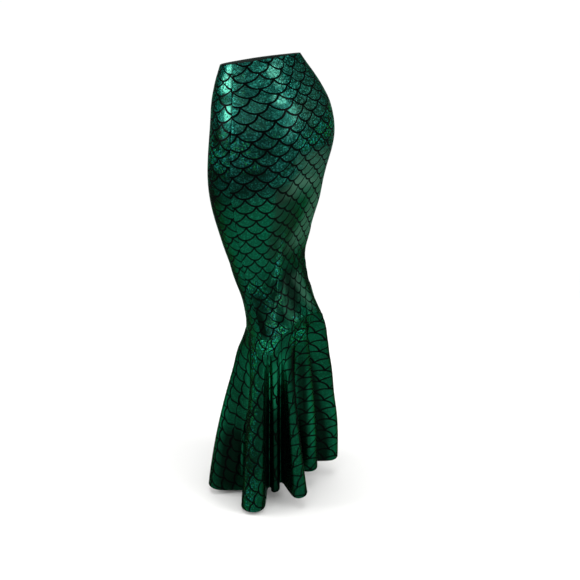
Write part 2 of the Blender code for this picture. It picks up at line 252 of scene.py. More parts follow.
BACK_PATCHES = (
    Patch(15.0, 0.032, 0.018, 0.035, sheen=0.16, spark=0.1, veil=0.02),
    Patch(29.0, 0.094, 0.038, 0.032, soft=1, sheen=0.19, spark=0.1),
    Patch(71.0, -0.005, 0.015, 0.0095, soft=0.8, sheen=0.36),
    Patch(61.0, 0.008, 0.014, 0.011, soft=0.5, sheen=1, veil=0.04),
    Patch(63.0, 0.029, 0.013, 0.0095, soft=0.8, sheen=0.45),
    Patch(57.5, 0.062, 0.017, 0.0095, soft=0.5, sheen=0.48, veil=0.03),
    Patch(70.0, 0.092, 0.0105, 0.016, lean=-15, soft=0.5, sheen=0.3, veil=0.08),
    Patch(60.5, 0.097, 0.010, 0.012, soft=1, dull=0.3),
    Patch(78.5, 0.068, 0.016, 0.023, dull=0.35, veil=0.05),
    Patch(79.5, 0.106, 0.029, 0.040, lean=-10, soft=1, dull=0.4, veil=0.05),
    Patch(65.0, 0.128, 0.015, 0.015, sheen=0.12),
    Patch(57.5, 0.124, 0.010, 0.0105, soft=1, dull=0.25),
    Patch(68.5, 0.171, 0.016, 0.019, soft=1, dull=0.3, veil=0.05),
    Patch(101.0, 0.030, 0.034, 0.031, lean=-15, soft=1, sheen=0.04, veil=0.16),
    Patch(99.0, 0.088, 0.048, 0.028, lean=-15, soft=1, dull=0.15, veil=0.2),
    Patch(101.5, 0.146, 0.043, 0.021, spark=0.55, dull=0.36, veil=0.08),
    Patch(81.5, 0.160, 0.024, 0.017, spark=0.4, veil=0.05),
    Patch(21.0, 0.163, 0.029, 0.019, soft=1, sheen=0.05, spark=0.55, dull=0.2),
    Patch(32.5, 0.198, 0.026, 0.019, soft=1, spark=0.5, dull=0.1),
    Patch(48.0, 0.153, 0.030, 0.022, soft=1, spark=0.1, dull=0.4),
    Patch(38.5, 0.192, 0.041, 0.033, soft=1, dull=0.42),
    Patch(101.0, 0.235, 0.053, 0.047, lean=10, soft=0.7, dull=0.12, veil=0.62),
    Patch(77.5, 0.200, 0.0115, 0.018, lean=10, soft=0.8, veil=0.35),
    Patch(87.5, 0.276, 0.042, 0.026, lean=20, veil=0.42),
    Patch(120.0, 0.364, 0.045, 0.081, lean=10, soft=0.8, veil=0.75),
    Patch(32.5, 0.241, 0.068, 0.032, soft=1, dull=0.6),
    Patch(22.0, 0.281, 0.043, 0.030, dull=0.3),
    Patch(68.0, 0.214, 0.018, 0.025, lean=20, dull=0.15, veil=0.05),
    Patch(68.5, 0.278, 0.030, 0.023, dull=0.4, veil=0.12),
    Patch(71.0, 0.361, 0.031, 0.097, soft=0.6, dull=0.72, veil=0.18),
    Patch(95.5, 0.421, 0.0125, 0.028, dull=0.3, veil=0.1),
    Patch(92.0, 0.506, 0.024, 0.070, soft=1, dull=0.5, veil=0.06),
    Patch(67.5, 0.562, 0.044, 0.065, lean=15, dull=0.85, veil=0.02),
    Patch(-5.0, 0.616, 0.048, 0.034, spark=0.2, dull=0.65),
    Patch(18.0, 0.598, 0.040, 0.061, soft=0.8, sheen=0.05, dull=0.55),
    Patch(73.5, 0.450, 0.007, 0.062, lean=2, sheen=0.12, spark=0.9),
    Patch(62.0, 0.535, 0.0075, 0.041, lean=10, sheen=0.12, spark=0.9),
    Patch(35.5, 0.596, 0.0105, 0.033, lean=20, sheen=0.15, spark=0.6),
    Patch(25.5, 0.629, 0.028, 0.022, sheen=0.2, spark=0.9),
    Patch(40.0, 0.626, 0.022, 0.013, sheen=0.1, spark=0.9),
    Patch(71.5, 0.605, 0.014, 0.0095, soft=0.8, sheen=0.1, spark=0.8),
    Patch(109.0, 0.560, 0.018, 0.046, lean=-15, veil=0.55),
    Patch(105.0, 0.581, 0.022, 0.025, lean=-20, soft=0.8, veil=0.2),
    Patch(113.5, 0.606, 0.018, 0.0075, spark=0.3, dull=0.3),
    Patch(29.5, 0.528, 0.032, 0.021, spark=0.5, dull=0.3),
    Patch(29.0, 0.563, 0.030, 0.020, spark=0.5, dull=0.35),
    Patch(42.0, 0.575, 0.019, 0.018, sheen=0.22, spark=0.6),
    Patch(77.0, 0.571, 0.022, 0.020, dull=0.1),
    Patch(150.0, 0.060, 0.040, 0.040, sheen=0.14, spark=0.1, veil=0.05),
    Patch(128.0, 0.130, 0.040, 0.035, spark=0.5, dull=0.1, veil=0.05),
    Patch(158.0, 0.170, 0.035, 0.045, lean=5, sheen=0.1, spark=0.3, dull=0.1),
    Patch(148.0, 0.290, 0.045, 0.070, lean=-8, dull=0.4, veil=0.05),
    Patch(152.0, 0.430, 0.030, 0.080, lean=-6, sheen=0.12, veil=0.05),
    Patch(132.0, 0.520, 0.030, 0.060, lean=-10, spark=0.1, dull=0.5),
    Patch(156.0, 0.600, 0.035, 0.035, sheen=0.15, spark=0.7),
)
FLOUNCE_PATCHES = (
    Patch(307.0, 0.300, 0.014, 0.100, sheen=0.25),
    Patch(320.5, 0.254, 0.028, 0.107, lean=8, dull=0.25),
    Patch(322.5, 0.414, 0.110, 0.099, lean=5, dull=0.62),
    Patch(316.5, 0.392, 0.032, 0.109, lean=5, soft=1, dull=0.45),
    Patch(326.5, 0.400, 0.010, 0.070, sheen=0.7),
    Patch(335.0, 0.200, 0.030, 0.120, sheen=0.22),
    Patch(357.0, 0.270, 0.030, 0.130, dull=0.6),
    Patch(355.0, 0.300, 0.014, 0.170, spark=0.4),
    Patch(357.0, 0.410, 0.022, 0.100, spark=0.25, dull=0.27),
    Patch(371.0, 0.150, 0.020, 0.070, sheen=0.8),
    Patch(383.0, 0.150, 0.026, 0.070, soft=1, sheen=0.5),
    Patch(386.0, 0.390, 0.055, 0.170, soft=0.5, dull=0.7),
    Patch(403.0, 0.250, 0.016, 0.140, sheen=0.02, dull=0.3),
    Patch(400.0, 0.110, 0.020, 0.050, sheen=0.4),
    Patch(416.0, 0.250, 0.026, 0.190, soft=0.5, dull=0.9),
    Patch(434.5, 0.295, 0.016, 0.190, soft=0.7, dull=0.86),
    Patch(441.0, 0.330, 0.012, 0.100, sheen=0.25),
    Patch(106.5, 0.340, 0.036, 0.220, lean=-9, soft=0.34, dull=1),
    Patch(104.0, 0.095, 0.022, 0.045, sheen=0.08),
    Patch(118.5, 0.380, 0.018, 0.110, sheen=0.2),
    Patch(372.5, 0.014, 0.032, 0.028, sheen=0.25, spark=0.62),
    Patch(428.0, 0.046, 0.034, 0.020, sheen=0.05, spark=0.55),
    Patch(345.0, 0.060, 0.020, 0.040, sheen=0.05, spark=0.6),
    Patch(352.0, 0.420, 0.030, 0.080, dull=0.2),
    Patch(320.5, 0.404, 0.019, 0.086, dull=0.35),
    Patch(133.0, 0.300, 0.040, 0.180, soft=0.5, dull=0.75),
    Patch(148.0, 0.220, 0.020, 0.140, sheen=0.3),
    Patch(158.0, 0.360, 0.036, 0.140, lean=4, soft=0.5, dull=0.7),
    Patch(180.0, 0.330, 0.040, 0.160, lean=-4, soft=0.6, dull=0.75),
    Patch(202.0, 0.300, 0.036, 0.180, soft=0.6, dull=0.7),
    Patch(213.0, 0.180, 0.022, 0.120, sheen=0.25, spark=0.1),
    Patch(223.0, 0.360, 0.040, 0.130, lean=4, soft=0.5, dull=0.75),
    Patch(245.0, 0.320, 0.040, 0.160, lean=-4, soft=0.6, dull=0.7),
    Patch(256.0, 0.100, 0.030, 0.050, sheen=0.1, spark=0.6),
    Patch(267.0, 0.360, 0.040, 0.140, soft=0.5, dull=0.75),
    Patch(291.0, 0.340, 0.044, 0.160, lean=4, soft=0.6, dull=0.7),
    Patch(190.0, 0.050, 0.030, 0.040, sheen=0.1, spark=0.6),
)

# Creases and puckers: each runs from one place to another, bowed sideways, stands out or sinks in
# by its height along its middle, and fades over a share of its length at either end.
Crease = namedtuple("Crease", "turn drop to_turn to_drop bow width height")
CREASE_FADE = 0.35
TUBE_CREASES = (
    # the worn form: fuller thighs and seat, closer above the knee and at the top of the hips
    Crease(-150.0, 0.114, 28.0, 0.114, 0.0, 0.0520, -0.0050),
    Crease(-150.0, 0.307, 28.0, 0.307, 0.0, 0.0950, 0.0072),
    Crease(-150.0, 0.476, 28.0, 0.476, 0.0, 0.0360, -0.0036),
    Crease(62.0, 0.245, 212.0, 0.245, 0.0, 0.0560, 0.0048),
    Crease(62.0, 0.385, 212.0, 0.385, 0.0, 0.0520, -0.0030),
    # under the seat
    Crease(50.0, 0.275, 205.0, 0.272, 0.0, 0.075, -0.0105),
    Crease(124.0, 0.204, 72.0, 0.205, 0.004, 0.009, -0.0020),
    Crease(80.0, 0.202, 53.0, 0.246, 0.003, 0.008, -0.0022),
    Crease(78.0, 0.225, 50.0, 0.275, -0.003, 0.007, 0.0012),
    # the pull from the back of the thigh to the knee
    Crease(69.5, 0.380, 73.5, 0.432, 0.0, 0.0034, 0.0016),
    Crease(74.5, 0.420, 74.0, 0.476, 0.001, 0.0036, 0.0020),
    Crease(75.0, 0.462, 66.0, 0.512, 0.001, 0.0038, 0.0024),
    Crease(68.5, 0.500, 55.0, 0.556, 0.002, 0.0040, 0.0024),
    Crease(58.0, 0.540, 38.0, 0.596, -0.001, 0.0044, 0.0022),
    Crease(43.0, 0.580, 24.0, 0.636, 0.002, 0.0046, 0.0022),
    Crease(64.0, 0.388, 69.0, 0.445, 0.0, 0.0040, -0.0014),
    Crease(70.0, 0.432, 68.0, 0.500, 0.001, 0.0042, -0.0020),
    Crease(68.0, 0.486, 52.0, 0.550, 0.003, 0.0046, -0.0016),
    Crease(54.0, 0.534, 33.0, 0.592, 0.002, 0.0050, -0.0015),
    Crease(38.0, 0.576, 16.0, 0.634, 0.002, 0.0060, -0.0022),
    Crease(79.0, 0.425, 80.0, 0.500, 0.0, 0.0046, -0.0007),
    Crease(79.0, 0.490, 64.0, 0.560, 0.003, 0.0046, -0.0008),
    Crease(72.0, 0.535, 52.0, 0.600, 0.002, 0.0040, 0.0006),
    Crease(61.5, 0.474, 29.0, 0.529, 0.002, 0.0034, 0.0017),
    Crease(66.0, 0.503, 28.0, 0.555, -0.001, 0.0036, 0.0018),
    Crease(55.0, 0.452, 21.0, 0.503, 0.001, 0.0030, 0.0012),
    Crease(63.0, 0.490, 28.0, 0.542, 0.002, 0.0040, -0.0016),
    Crease(60.0, 0.464, 26.0, 0.516, 0.0, 0.0040, -0.0012),
    Crease(66.0, 0.520, 23.0, 0.573, 0.002, 0.0050, -0.0018),
    Crease(52.0, 0.560, 22.0, 0.590, 0.001, 0.0040, 0.0013),
    # the hollow outside the knee
    Crease(33.0, 0.548, 4.0, 0.646, 0.0, 0.0180, -0.0032),
    Crease(-3.0, 0.538, -9.0, 0.596, 0.0, 0.0040, 0.0022),
    Crease(3.0, 0.542, -1.0, 0.604, 0.0, 0.0040, -0.0016),
    Crease(-13.0, 0.556, -21.0, 0.618, 0.001, 0.0050, 0.0016),
    # a narrow pleat behind the knee
    Crease(97.0, 0.400, 110.0, 0.502, 0.0, 0.0030, 0.0018),
    Crease(110.0, 0.492, 102.0, 0.536, 0.0, 0.0030, 0.0015),
    Crease(93.0, 0.404, 106.0, 0.503, 0.0, 0.0034, -0.0014),
    Crease(101.5, 0.404, 114.0, 0.500, 0.0, 0.0034, -0.0012),
    # short folds that rise from the joining seam
    Crease(18.0, 0.662, 29.0, 0.618, 0.001, 0.0040, 0.0014),
    Crease(31.0, 0.654, 42.0, 0.612, 0.001, 0.0036, -0.0015),
    Crease(44.0, 0.648, 50.0, 0.610, 0.0, 0.0040, 0.0016),
    Crease(57.0, 0.640, 66.0, 0.598, 0.001, 0.0036, 0.0013),
    Crease(70.0, 0.634, 84.0, 0.596, 0.002, 0.0045, -0.0014),
    Crease(96.0, 0.622, 106.0, 0.584, 0.0, 0.0040, 0.0013),
    Crease(116.0, 0.622, 124.0, 0.566, 0.001, 0.0045, 0.0018),
    # the wearer's right, and the front
    Crease(131.0, 0.392, 126.0, 0.486, 0.0, 0.0050, 0.0022),
    Crease(126.0, 0.462, 141.0, 0.560, -0.003, 0.0055, 0.0028),
    Crease(139.0, 0.545, 164.0, 0.630, -0.002, 0.0065, 0.0026),
    Crease(139.0, 0.398, 135.0, 0.492, 0.0, 0.0060, -0.0022),
    Crease(134.0, 0.470, 150.0, 0.566, -0.003, 0.0065, -0.0026),
    Crease(126.0, 0.470, 158.0, 0.538, -0.002, 0.0036, 0.0016),
    Crease(133.0, 0.508, 166.0, 0.570, -0.001, 0.0040, -0.0016),
    Crease(150.0, 0.556, 180.0, 0.640, 0.0, 0.0170, -0.0030),
    Crease(186.0, 0.545, 192.0, 0.610, 0.0, 0.0045, 0.0020),
    Crease(203.0, 0.560, 212.0, 0.624, 0.001, 0.0050, -0.0016),
    Crease(226.0, 0.530, 262.0, 0.556, 0.003, 0.0050, -0.0018),
    Crease(232.0, 0.556, 268.0, 0.580, 0.002, 0.0050, 0.0018),
    Crease(282.0, 0.566, 322.0, 0.538, -0.003, 0.0050, -0.0018),
    Crease(276.0, 0.600, 318.0, 0.590, -0.002, 0.0060, 0.0016),
    Crease(246.0, 0.616, 282.0, 0.630, 0.002, 0.0060, -0.0016),
    Crease(286.0, 0.640, 300.0, 0.600, 0.001, 0.0040, 0.0012),
    Crease(214.0, 0.650, 228.0, 0.612, 0.001, 0.0040, 0.0014),
    # the soft turn outwards at the joining seam
    Crease(-178.0, 0.660, -2.0, 0.659, 0.0, 0.0180, 0.0032),
    # across the lap and the hips
    Crease(244.0, 0.176, 268.0, 0.206, 0.002, 0.0080, -0.0014),
    Crease(276.0, 0.204, 304.0, 0.172, 0.002, 0.0080, -0.0014),
)
FLOUNCE_CREASES = (
    # the soft turn outwards at the joining seam, and the fullness below it at the back and left
    Crease(182.0, 0.000, 358.0, 0.000, 0.000, 0.0180, 0.0032),
    Crease(88.0, 0.022, 172.0, 0.022, 0.000, 0.0160, 0.0045),
    Crease(96.0, 0.050, 152.0, 0.050, 0.000, 0.0360, 0.0088),
    Crease(96.0, 0.105, 150.0, 0.105, 0.000, 0.0300, 0.0030),
    Crease(96.0, 0.280, 150.0, 0.280, 0.000, 0.0650, -0.0040),
    Crease(282.0, 0.070, 330.0, 0.070, 0.000, 0.0420, 0.0045),
    # small folds between the first two flutes of the left side
    Crease(313.0, 0.150, 314.5, 0.430, 0.000, 0.0060, 0.0030),
    Crease(316.2, 0.190, 317.5, 0.470, 0.001, 0.0055, -0.0032),
    Crease(319.5, 0.140, 320.8, 0.440, 0.000, 0.0055, 0.0030),
    Crease(322.5, 0.200, 323.5, 0.480, 0.001, 0.0050, -0.0028),
    Crease(326.0, 0.230, 326.5, 0.495, 0.000, 0.0060, 0.0024),
    Crease(309.5, 0.260, 311.0, 0.490, 0.001, 0.0060, -0.0022),
    # long soft folds down other walls
    Crease(345.0, 0.050, 348.0, 0.420, 0.002, 0.0080, 0.0022),
    Crease(376.0, 0.060, 377.0, 0.330, 0.001, 0.0060, -0.0020),
    Crease(392.5, 0.040, 393.5, 0.300, 0.001, 0.0050, 0.0026),
    Crease(402.5, 0.060, 403.5, 0.420, 0.001, 0.0055, -0.0018),
    Crease(418.0, 0.080, 419.0, 0.440, 0.001, 0.0070, 0.0020),
    Crease(434.0, 0.070, 435.0, 0.330, 0.001, 0.0060, -0.0018),
    Crease(104.5, 0.060, 106.0, 0.360, 0.001, 0.0070, -0.0026),
    Crease(99.0, 0.110, 99.5, 0.420, 0.001, 0.0060, 0.0018),
    Crease(128.0, 0.080, 128.5, 0.460, 0.001, 0.0080, 0.0024),
    Crease(140.0, 0.120, 140.5, 0.400, 0.001, 0.0070, -0.0022),
    Crease(163.0, 0.060, 164.0, 0.360, 0.001, 0.0080, 0.0024),
    Crease(176.0, 0.150, 176.5, 0.470, 0.001, 0.0070, -0.0022),
    Crease(196.0, 0.080, 197.0, 0.420, 0.001, 0.0070, 0.0020),
    Crease(218.0, 0.120, 219.0, 0.480, 0.001, 0.0080, -0.0024),
    Crease(229.0, 0.070, 230.0, 0.350, 0.001, 0.0070, 0.0022),
    Crease(248.0, 0.100, 249.0, 0.450, 0.001, 0.0070, -0.0020),
    Crease(262.0, 0.060, 263.0, 0.380, 0.001, 0.0080, 0.0024),
    Crease(284.0, 0.140, 285.0, 0.470, 0.001, 0.0070, 0.0022),
    Crease(296.0, 0.070, 297.0, 0.390, 0.001, 0.0070, -0.0022),
)

# Short, uneven puckers below the joining seam, whose sizes lie between these.
PUCKERS = 58
PUCKER_SEED = 11
PUCKER_START = -0.006
PUCKER_BOW = 0.0005
PUCKER_PLACES = (0.15, 0.85)
PUCKER_LENGTHS = (0.022, 0.060)
PUCKER_LEANS = (-1.2, 1.2)
PUCKER_SIDES = (-1.0, 1.0, 1.0)     # one in three sinks in
PUCKER_HEIGHTS = (0.0006, 0.0015)
PUCKER_WIDTHS = (0.0018, 0.0030)

# Cloth per radian of the joining seam's turn, at the seam, and how much more at the hem.
SEAM_LEVEL = 0.10
LEVEL_GAIN = 0.33

# The flounce was cut as a ring, upside down at its seam. In the deep valleys between flutes more
# cloth is taken up than elsewhere, so the print turns there by so many degrees more.
Tuck = namedtuple("Tuck", "root turned")
TUCKS = (
    Tuck(102.0, 5.0),
    Tuck(133.5, 6.0),
    Tuck(158.5, 5.0),
    Tuck(180.5, 7.0),
    Tuck(201.5, 6.0),
    Tuck(223.0, 6.0),
    Tuck(245.0, 5.0),
    Tuck(267.0, 7.0),
    Tuck(291.0, 6.0),
    Tuck(372.0, 23.0),
    Tuck(397.5, 26.0),
    Tuck(426.5, 16.0),
)
TUCK_SPREAD = 9.0

# The studio.
FLOOR = -1.167
FLOOR_RADIUS = 2.6
FLOOR_FADE = (1.45, 2.4)
FLOOR_GREY = (0.86, 0.86, 0.85, 1.0)
Softbox = namedtuple("Softbox", "name turn rise width height power")
SOFTBOXES = (
    Softbox("left_softbox", -47.0, 20.0, 1.6, 1.6, 72.0),
    Softbox("right_softbox", 106.0, 24.0, 1.5, 2.8, 86.0),
    Softbox("overhead_softbox", 40.0, 84.0, 2.3, 2.3, 64.0),
)
SOFTBOX_DISTANCE = 3.4
SOFTBOX_AIM = (0.0, 0.03, -0.30)
HORIZON = (-0.03, 0.12)
LIGHT_BELOW = 1.02
LIGHT_ABOVE = 0.7
WHITE = (1.0, 1.0, 1.0, 1.0)
LENS = 51.64              # millimetres, on a 36 mm wide sensor
SENSOR = 36.0
CAMERA_TURN = 40.0
CAMERA_RISE = 24.35
CAMERA_PLACE = (1.4570, 1.3033, 0.3077)


def ease(value):
    """A smooth step from 0 to 1 as the value goes from 0 to 1."""
    held = np.clip(value, 0.0, 1.0)
    return held * held * (3.0 - 2.0 * held)


def at_drop(drop, column):
    """Values of one column of the section table at drops, on a smooth curve through its rows."""
    drops = np.array([row.drop for row in SECTIONS])
    values = np.array([getattr(row, column) for row in SECTIONS])
    last = len(drops) - 1
    rows = np.arange(last + 1)
    before = np.maximum(rows - 1, 0)
    after = np.minimum(rows + 1, last)
    slopes = (values[after] - values[before]) / (drops[after] - drops[before])
    place = np.clip(np.searchsorted(drops, drop) - 1, 0, last - 1)
    step = drops[place + 1] - drops[place]
    part = (drop - drops[place]) / step
    start = (1.0 + 2.0 * part) * (1.0 - part) ** 2 * values[place]
    end = part * part * (3.0 - 2.0 * part) * values[place + 1]
    leave = part * (1.0 - part) ** 2 * step * slopes[place]
    arrive = part * part * (part - 1.0) * step * slopes[place + 1]
    return start + end + leave + arrive


def outwards(turn):
    """The level direction away from the skirt's middle at turns."""
    out = np.radians(turn)
    return np.stack((np.cos(out), np.sin(out), np.zeros_like(out)), axis=-1)


def spot_at(turn, reach):
    """A place seen from above, at a turn and so far from the middle."""
    out = math.radians(turn)
    return reach * math.cos(out), reach * math.sin(out)


def direction(turn, rise):
    """The way to something at a turn and a rise in degrees."""
    x, y = spot_at(turn, math.cos(math.radians(rise)))
    return Vector((x, y, math.sin(math.radians(rise))))


def tube_drop(turn, share):
    """The drop of the fitted tube at turns; share is 0 at the waist and 1 at the joining seam."""
    behind = np.degrees(np.arcsin(np.sin(np.radians(turn))))
    knee = KNEE_DROP - BACK_LIFT * ease((behind - LIFT_FROM) / (LIFT_TO - LIFT_FROM))
    waist = -WAIST_LIFT - WAIST_RISE * np.sin(np.radians(turn))
    return (1.0 - share) * waist + share * knee


def tube_point(turn, share):
    """The outer side of the fitted tube at turns and shares."""
    drop = tube_drop(turn, share)
    across = np.cos(np.radians(turn))
    along = np.sin(np.radians(turn))
    spread = (np.abs(across) ** SQUARENESS + np.abs(along) ** SQUARENESS) ** (-1.0 / SQUARENESS)
    x = at_drop(drop, "half_width") * across * spread
    y = at_drop(drop, "middle") + at_drop(drop, "half_depth") * along * spread
    return np.stack((x, y, -drop), axis=-1)


def lay_at(drop, column):
    """The scales' size at drops of the fitted tube."""
    drops = [row.drop for row in LAYS]
    return np.interp(drop, drops, [getattr(row, column) for row in LAYS])


def arc(middle, radius, start, end, count):
    """Points on an arc between two turns."""
    angles = np.radians(np.linspace(start, end, count))
    return [(middle[0] + radius * math.cos(a), middle[1] + radius * math.sin(a)) for a in angles]


def evenly(points, count):
    """Points evenly spaced along a closed outline, and the outline's length."""
    closed = np.vstack((points, points[:1]))
    lengths = np.linalg.norm(np.diff(closed, axis=0), axis=1)
    passed = np.concatenate(([0.0], np.cumsum(lengths)))
    wanted = np.arange(count) / count * passed[-1]
    columns = [np.interp(wanted, passed, closed[:, axis]) for axis in (0, 1)]
    return np.stack(columns, axis=1), passed[-1]


def softened(values, width, length):
    """Values along the closed hem, each replaced by the mean of those within a width, twice."""
    reach = round(0.5 * width / length * HEM_SAMPLES)
    for _ in range(2):
        near = [np.roll(values, shift, axis=0) for shift in range(-reach, reach + 1)]
        values = np.mean(near, axis=0)
    return values


def nearest_sample(outline, turn, reach):
    """The number of the outline's point that lies nearest to a place."""
    spot = np.array(spot_at(turn, reach))
    return int(np.argmin(np.hypot(*(outline - spot).T)))


def hem_outline():
    """The hem from above, from the first flute's crest on: its points, the turn of the joining seam
    that each hangs from, and how far the cloth springs out on its way down to it.
    """
    points = []
    marks = []
    count = len(FLUTES)
    for number, flute in enumerate(FLUTES):
        following = FLUTES[(number + 1) % count]
        lap = 360.0 if number == count - 1 else 0.0
        middle = spot_at(flute.turn, flute.reach - flute.half_width)
        sweep = (flute.turn - CREST_SWEEP, flute.turn + CREST_SWEEP)
        points += arc(middle, flute.half_width, *sweep, CREST_POINTS)
        marks.append((flute.turn, flute.reach, flute.root, flute.spring))
        between = 0.5 * (flute.turn + following.turn + lap)
        low = spot_at(between, flute.valley + VALLEY_HALF_WIDTH)
        points += arc(low, VALLEY_HALF_WIDTH, between + 270.0, between + 90.0, VALLEY_POINTS)
        root = 0.5 * (flute.root + following.root + lap)
        marks.append((between, flute.valley, root, 0.5 * (flute.spring + following.spring)))
    outline, length = evenly(np.array(points), HEM_SAMPLES)
    outline = softened(outline, FOLD_SOFTENING, length)
    start = nearest_sample(outline, marks[0][0], marks[0][1])
    outline, length = evenly(np.roll(outline, -start, axis=0), HEM_SAMPLES)
    places = [nearest_sample(outline, turn, reach) for turn, reach, _, _ in marks]
    places = [0] + places[1:] + [HEM_SAMPLES]
    samples = np.arange(HEM_SAMPLES)
    lap_share = 360.0 * samples / HEM_SAMPLES
    roots = [mark[2] for mark in marks] + [marks[0][2] + 360.0]
    roots = np.interp(samples, places, roots) - lap_share
    roots = softened(roots, ROOT_SOFTENING, length) + lap_share
    springs = [mark[3] for mark in marks] + [marks[0][3]]
    springs = softened(np.interp(samples, places, springs), ROOT_SOFTENING, length)
    outline[:, 1] += HEM_MIDDLE
    return outline, roots, springs


HEM_OUTLINE, HEM_ROOTS, HEM_SPRINGS = hem_outline()


def round_hem(turn, values):
    """Values of the hem's outline at turns of the joining seam."""
    start = HEM_ROOTS[0]
    along = np.append(HEM_ROOTS, start + 360.0)
    return np.interp(start + (turn - start) % 360.0, along, np.append(values, values[0]))


def flounce_point(share, down):
    """The outer side of the flounce; share runs once round the joining seam."""
    turn = FLOUNCE_START + 360.0 * share
    top = tube_point(turn, 1.0)
    spring = round_hem(turn, HEM_SPRINGS)
    part = down * (1.0 + spring * (1.0 - down))
    away_x = round_hem(turn, HEM_OUTLINE[:, 0]) - top[..., 0]
    away_y = round_hem(turn, HEM_OUTLINE[:, 1]) - top[..., 1]
    distance = np.hypot(away_x, away_y)
    fallen = np.zeros_like(distance)
    for number in range(FALL_STEPS):
        passed = (number + 0.5) / FALL_STEPS * down
        level = distance * (1.0 + spring - 2.0 * spring * passed)
        fallen += np.sqrt(FLOUNCE_LENGTH ** 2 - level ** 2) * down / FALL_STEPS
    x = top[..., 0] + part * away_x
    y = top[..., 1] + part * away_y
    return np.stack((x, y, top[..., 2] - fallen), axis=-1)


def edge_round(distance, thickness):
    """How far each side of the cloth draws in where it turns round a rounded edge."""
    radius = 0.5 * thickness
    beyond = 1.0 - np.clip(distance / radius, 0.0, 1.0)
    return EDGE_ROUNDING * radius * (1.0 - np.sqrt(np.clip(1.0 - beyond * beyond, 0.0, 1.0)))


def sew_ring(work, first_side, last_side):
    """Takes out the end walls of a strip whose two sides meet, and joins those sides."""
    walls = [face for face in work.faces
             if all(first_side[vertex.index] for vertex in face.verts)
             or all(last_side[vertex.index] for vertex in face.verts)]
    bmesh.ops.delete(work, geom=walls, context="FACES")
    met = [vertex for vertex in work.verts if first_side[vertex.index] or last_side[vertex.index]]
    bmesh.ops.remove_doubles(work, verts=met, dist=JOIN_WITHIN)


def cloth(name, columns, rows, form, thickness, drawn_in, printed, painted_light, looks, joined=False):
    """A closed shell of cloth over a form, with its print's own map.

    form, thickness, drawn_in, printed and the painted light (painted highlight, glints, shade and
    reflection) are functions of (across, down). Where joined is True, the two sides meet and are sewn
    together into a ring.
    """
    mesh = bpy.data.meshes.new(name)
    work = bmesh.new()
    bmesh.ops.create_grid(work, x_segments=columns, y_segments=rows, size=0.5)
    bmesh.ops.extrude_face_region(work, geom=work.faces[:], use_keep_orig=True)
    flat = np.array([vertex.co[:2] for vertex in work.verts])
    count = (columns + 1) * (rows + 1)
    inside = np.arange(len(flat)) >= count
    across = flat[:, 0] + 0.5
    down = 0.5 - flat[:, 1]
    sideways = form(across + SLOPE_STEP, down) - form(across - SLOPE_STEP, down)
    downwards = form(across, down + SLOPE_STEP) - form(across, down - SLOPE_STEP)
    outward = np.cross(downwards, sideways)
    outward /= np.linalg.norm(outward, axis=1)[:, None]
    thick = thickness(across, down)
    inset = drawn_in(across, down)
    depth = np.where(inside, thick - edge_round(inset, thick), edge_round(inset, thick))
    places = form(across, down) - outward * depth[:, None]
    first_side = np.isclose(across, 0.0)
    last_side = np.isclose(across, 1.0)
    if joined:
        places[last_side] = places[first_side]
    for vertex, place in zip(work.verts, places):
        vertex.co = place
    bmesh.ops.recalc_face_normals(work, faces=work.faces[:])
    work.verts.index_update()
    for face in work.faces:
        face.material_index = int(all(vertex.index >= count for vertex in face.verts))
        face.smooth = True
    prints = printed(across, down)
    layer = work.loops.layers.uv.new("print")
    for face in work.faces:
        for loop in face.loops:
            loop[layer].uv = prints[loop.vert.index]
    # the painted light at each point: painted highlight, glints, shade and reflection
    painted_light_layer = work.verts.layers.float_color.new("painted_light")
    for vertex, tint in zip(work.verts, painted_light(across, down)):
        vertex[painted_light_layer] = tint
    if joined:
        sew_ring(work, first_side, last_side)
    work.to_mesh(mesh)
    work.free()
    for look in looks:
        mesh.materials.append(look)
    piece = bpy.data.objects.new(name, mesh)
    bpy.context.collection.objects.link(piece)
    return piece


def spaced(share, count, edge):
    """Spreads even shares of so many rows so that they close up towards both edges."""
    mark = edge.rows / count
    return np.interp(share, (0.0, mark, 1.0 - mark, 1.0), (0.0, edge.share, 1.0 - edge.share, 1.0))


def patched(patches, turn, drop, level):
    """Painted highlight, painted glints, painted shade and painted reflection at turns and drops; level
    is the distance from the axis.
    """
    tints = np.zeros((len(turn), 4))
    for patch in patches:
        sideways = np.radians((turn - patch.turn + 180.0) % 360.0 - 180.0) * level
        downwards = drop - patch.drop
        lean = math.radians(patch.lean)
        across = (sideways * math.cos(lean) + downwards * math.sin(lean)) / patch.wide
        along = (downwards * math.cos(lean) - sideways * math.sin(lean)) / patch.tall
        away = (across ** PATCH_SQUARENESS + along ** PATCH_SQUARENESS) ** (1.0 / PATCH_SQUARENESS)
        share = ease((1.0 - away) / patch.soft + 0.5)
        tints += share[:, None] * np.array((patch.sheen, patch.spark, patch.dull, patch.veil))
    return np.clip(tints, 0.0, 1.0)


def creased(creases, turn, drop, level):
    """How far the cloth stands out at turns and drops."""
    height = np.zeros_like(turn)
    for crease in creases:
        sideways = np.radians((turn - crease.turn + 180.0) % 360.0 - 180.0) * level
        downwards = drop - crease.drop
        over = np.radians(crease.to_turn - crease.turn) * level
        down = crease.to_drop - crease.drop
        length = np.hypot(over, down)
        share = (sideways * over + downwards * down) / length ** 2
        across = (sideways * down - downwards * over) / length
        held = np.clip(share, 0.0, 1.0)
        across = across - crease.bow * 4.0 * held * (1.0 - held)
        shown = ease(share / CREASE_FADE) * ease((1.0 - share) / CREASE_FADE)
        height += crease.height * shown * np.exp(-(across / crease.width) ** 2)
    return height


